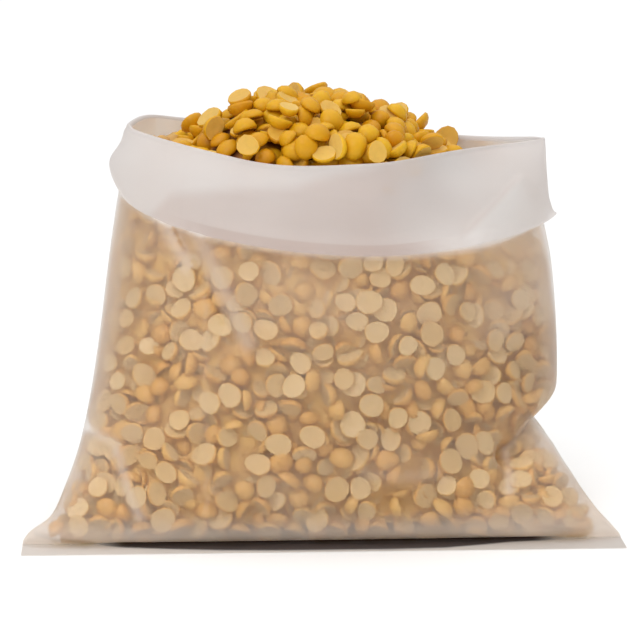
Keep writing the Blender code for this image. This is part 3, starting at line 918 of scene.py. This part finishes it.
# The core
# The mass of peas further in, of which only glimpses show through the gaps between the outer
# ones. They are packed like the rest, and here they are one rounded body.
CORE_GAP = 0.0065           # the core's depth under the film, less at the bottom
HEAP_SINK = 0.0080          # the core's top under the heap's outer surface
EDGE_GAP = 0.0012           # the heap's foot inside the film
# The heap's ridge from left to right, x and height
RIDGE = [(-0.0520, 0.1120), (-0.0450, 0.1145), (-0.0390, 0.1178), (-0.0330, 0.1235),
         (-0.0270, 0.1292), (-0.0210, 0.1296), (-0.0090, 0.1287), (0.0030, 0.1298),
         (0.0110, 0.1312), (0.0170, 0.1300), (0.0240, 0.1228), (0.0300, 0.1150),
         (0.0360, 0.1076), (0.0430, 0.1080), (0.0520, 0.1060)]
RIDGE_POWER = 2.3


def contents_ring(station, angle, shorten, gap):
    """A ring of the contents inside the film, drawn in from the tube's two edges."""
    across = np.cos(angle) * (1 - shorten)
    side = side_of(angle)
    front = np.arctan2(-np.sqrt(1 - across ** 2), across)
    at_front = inset(station, front, gap)
    at_back = inset(station, -front, gap)
    result = np.where((side < 0)[:, None], at_front, at_back)
    return np.where((side == 0)[:, None] & (shorten[:, None] > 0), (at_front + at_back) / 2, result)


def peas_edge(angle):
    """The station that the peas reach up to along the inside of the film."""
    return 8.47 - 0.25 * np.cos(angle) - 0.38 * np.cos(2 * angle)


edge_angles = np.linspace(0, 2 * math.pi, 361)
edge_ring = pinch(contents_ring(peas_edge(edge_angles), edge_angles, 0 * edge_angles, EDGE_GAP))
front_half = edge_ring[180:][np.argsort(edge_ring[180:, 0])]


def heap_point(reach, angle, sink):
    """A point of the heap's surface, lowered by the sink: a ridge with rounded sides."""
    edge = pinch(contents_ring(peas_edge(angle), angle, 0 * angle, EDGE_GAP + 0.5 * sink))
    edge[..., 2] -= sink
    middle = np.array((-0.001, 0.0, 0.0))
    point = middle + (edge - middle) * reach[..., None]
    half_depth = np.abs(np.interp(point[..., 0], front_half[:, 0], front_half[:, 1]))
    share = np.clip(np.abs(point[..., 1]) / np.maximum(half_depth, 0.002), 0, 1)
    ridge_x, ridge_z = np.array(RIDGE).T
    ridge = np.interp(point[..., 0], ridge_x, ridge_z) - sink
    point[..., 2] = edge[..., 2] + (ridge - edge[..., 2]) * (1 - share ** RIDGE_POWER) \
        * smooth_step((1.0 - reach) / 0.12)
    return point


CORE_AROUND = 96
HEAP_REACHES = (1.0, 0.95, 0.88, 0.8, 0.7, 0.6, 0.5, 0.4, 0.3, 0.2, 0.1, 0.02)
core_angle = np.arange(CORE_AROUND) * 2 * math.pi / CORE_AROUND
core_rows = []
for station in np.linspace(1.0, 7.6, 21):
    shorten = np.full(CORE_AROUND, 0.30 * (1 - smooth_step((station - 1) / 4.5)) + 0.001)
    gap = min(CORE_GAP, 0.0028 + 0.0022 * station)
    core_rows.append(pinch(contents_ring(np.full(CORE_AROUND, station), core_angle, shorten, gap)))
for reach in HEAP_REACHES:
    core_rows.append(heap_point(np.full(CORE_AROUND, reach), core_angle, HEAP_SINK))
core_points = np.array(core_rows)
core = grid_object("peas_core", core_points, closed=True, capped=True)


def packed_peas(name):
    """The core's surface: the dull cells of packed peas, golden under the heap, with dark edges
    that are painted shade in the gaps between the peas.
    """
    material, tree = start_material(name)
    texture = node(tree, "ShaderNodeTexCoord").outputs["Object"]
    cells = node(tree, "ShaderNodeTexVoronoi", {"feature": "F1"}, Vector=texture, Scale=150.0)
    dull, golden = [node(tree, "ShaderNodeValToRGB", Fac=cells) for _ in range(2)]
    # The edge colours are painted shade in the gaps between the packed peas, darkest under the heap
    for ramp, middle, edge, reach in ((dull, "#E0BA6C", "#B98E4E", 0.75),
                                      (golden, "#CC8A0C", "#5E3004", 0.70)):
        ramp.color_ramp.elements[0].color = hex_colour(middle)
        ramp.color_ramp.elements[1].color = hex_colour(edge)
        ramp.color_ramp.elements[1].position = reach
    height = node(tree, "ShaderNodeSeparateXYZ", Vector=texture).outputs["Z"]
    in_heap = node(tree, "ShaderNodeMapRange", Value=height, From_Min=0.096, From_Max=0.102)
    colour = mix_colour(tree, in_heap, dull, golden)
    shader = node(tree, "ShaderNodeBsdfPrincipled", Base_Color=colour, Roughness=0.7)
    node(tree, "ShaderNodeOutputMaterial", Surface=shader)
    return material


core.data.materials.append(packed_peas("packed split chickpeas"))
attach(core, "root")
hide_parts("split_peas")

# The heap
# The last peas poured in, which stand above the rim. Clean of flour, they are golden. They are
# settled on the core under gravity, inside the mouth.
HEAP_COUNT = 560
HEAP_LAYERS = 4
HEAP_SPAN = (-0.050, 0.037)
HEAP_FIRST = 0.0045         # the height that its first layer falls from, and each next one's
HEAP_STEP = 0.0075
HEAP_AROUND = 72
heap_angle = np.arange(HEAP_AROUND) * 2 * math.pi / HEAP_AROUND
heap_grid = np.array([heap_point(np.full(HEAP_AROUND, reach), heap_angle, HEAP_SINK)
                      for reach in HEAP_REACHES])
heap_grid[..., 2] += 0.0010 * noise(heap_grid[..., :2], 0.009, 6)
mouth_rows = [hung(np.full(HEAP_AROUND, station), heap_angle)
              for station in (7.4, 7.8, 8.2, 8.6, 9.0)]
above_rim = mouth_rows[-1].copy()
above_rim[:, 2] += 0.020
mouth_rows.append(above_rim)
heap_floor = grid_object("heap_floor", heap_grid * SIM, closed=True)
mouth = grid_object("mouth", np.array(mouth_rows) * SIM, closed=True)
heap = []
rng = random.Random(5)
per_layer = HEAP_COUNT // HEAP_LAYERS
for layer in range(HEAP_LAYERS):
    for k in range(per_layer):
        reach = math.sqrt((k + 0.5) / per_layer) * (0.90 - 0.05 * layer)
        turn_angle = k * math.pi * (3 - math.sqrt(5)) + 2.0 * layer
        spot = heap_point(np.array([reach]), np.array([turn_angle]), HEAP_SINK)[0]
        if HEAP_SPAN[0] < spot[0] < HEAP_SPAN[1]:
            heap.append((spot[0], spot[1], spot[2] + HEAP_FIRST + layer * HEAP_STEP,
                         random_turn(rng), rng.randrange(VARIANTS)))
heaped = settle(heap, [heap_floor, mouth], frames=26, friction=1.0)
rim_ring = hung(np.full_like(edge_angles, TOP), edge_angles)
rim_turn = np.unwrap(np.arctan2(rim_ring[:, 1], rim_ring[:, 0]))
# Left out are peas that have slid down inside the film or over the rim, and those above the
# heap's real top. Settling leaves most domes up, but half a pea turned over fills the same
# place, so some are.
HEAP_FOOT = 0.095
HEAP_TOP = 0.1334
RIM_ROOM = 0.002
TURNED_OVER = 0.45
HEAP_PEA_SIZE = 1.05
over = np.diag((1.0, -1.0, -1.0))
sizes = iter(bed_size)
kept = []
for (place, turn), variant in zip(heaped, [item[4] for item in heap]):
    around = math.atan2(place[1], place[0]) % (2 * math.pi)
    rim_reach = np.interp(around, rim_turn, np.hypot(rim_ring[:, 0], rim_ring[:, 1]))
    if place[2] > HEAP_FOOT and math.hypot(place[0], place[1]) < rim_reach - RIM_ROOM:
        if rng.random() < TURNED_OVER:
            place = place + turn @ np.array((0, 0, 0.9 * PEA_DOME))
            turn = turn @ over
        size = next(sizes)
        high = (outer_verts[variant] * size @ turn.T)[:, 2].max() * HEAP_PEA_SIZE
        if place[2] + high < HEAP_TOP:
            kept.append((place, turn, variant, size))
heap_cloud = point_cloud("peas_heap", *zip(*kept), 31)
lay_peas(heap_cloud, pea_shapes("heap_pea", 12), HEAP_PEA_SIZE, chickpea)
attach(heap_cloud, "root")
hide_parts("split_peas")

# The setting
# A pale seamless floor under a sky that is brightest overhead, and one large soft lamp.
FLOOR_HALF = 3.0
floor_corners = np.array([[(-1, -1, 0), (1, -1, 0)], [(-1, 1, 0), (1, 1, 0)]]) * FLOOR_HALF
floor = grid_object("floor", floor_corners, closed=False)
# Matt white paper: no reflection, only the bag's soft shadow
paper, paper_tree = start_material("white paper sweep")
node(paper_tree, "ShaderNodeOutputMaterial",
     Surface=node(paper_tree, "ShaderNodeBsdfDiffuse", Color=hex_colour("#FBFBFB")))
floor.data.materials.append(paper)

sky = bpy.data.worlds.new("studio")
scene.world = sky
sky.use_nodes = True
sky_tree = sky.node_tree
sky_tree.nodes.clear()
sky_up = node(sky_tree, "ShaderNodeSeparateXYZ",
              Vector=node(sky_tree, "ShaderNodeTexCoord")).outputs["Z"]
overhead = maths(sky_tree, "POWER", maths(sky_tree, "MAXIMUM", sky_up, 0.0), 2.0)
SKY_OVERHEAD, SKY_LOW = 1.6, 0.52
strength = maths(sky_tree, "MULTIPLY_ADD", overhead, SKY_OVERHEAD, SKY_LOW)
node(sky_tree, "ShaderNodeOutputWorld",
     Surface=node(sky_tree, "ShaderNodeBackground", Strength=strength))

KEY_AT = Vector((-0.35, -0.80, 0.75))
KEY_WATTS = 3.4
key_light = bpy.data.lights.new("key", "AREA")
key_light.size = 0.5
key_light.energy = KEY_WATTS
key = add_object("key", key_light)
key.location = KEY_AT
key.rotation_euler = (Vector((0, 0, 0.06)) - KEY_AT).to_track_quat("-Z", "Y").to_euler()

# The camera
# A long lens a metre away, as such goods are shown: ten degrees above the table, and three
# degrees to the left of straight on.
AZIMUTH = math.radians(-3)
ELEVATION = math.radians(10)
DISTANCE = 1.0
AIM = Vector((0.00106, 0, 0.06081))
FOCAL_PIXELS = 3258.9
PICTURE_PIXELS = 640
SENSOR_WIDTH = 36.0
camera_data = bpy.data.cameras.new("camera")
camera_data.sensor_width = SENSOR_WIDTH
camera_data.lens = FOCAL_PIXELS * SENSOR_WIDTH / PICTURE_PIXELS
camera_data.clip_end = 20
camera = add_object("camera", camera_data)
direction = Vector((math.sin(AZIMUTH) * math.cos(ELEVATION),
                    -math.cos(AZIMUTH) * math.cos(ELEVATION), math.sin(ELEVATION)))
camera.location = AIM + direction * DISTANCE
camera.rotation_euler = (-direction).to_track_quat("-Z", "Y").to_euler()
scene.camera = camera
scene.view_settings.view_transform = "Standard"

bpy.context.view_layer.update()
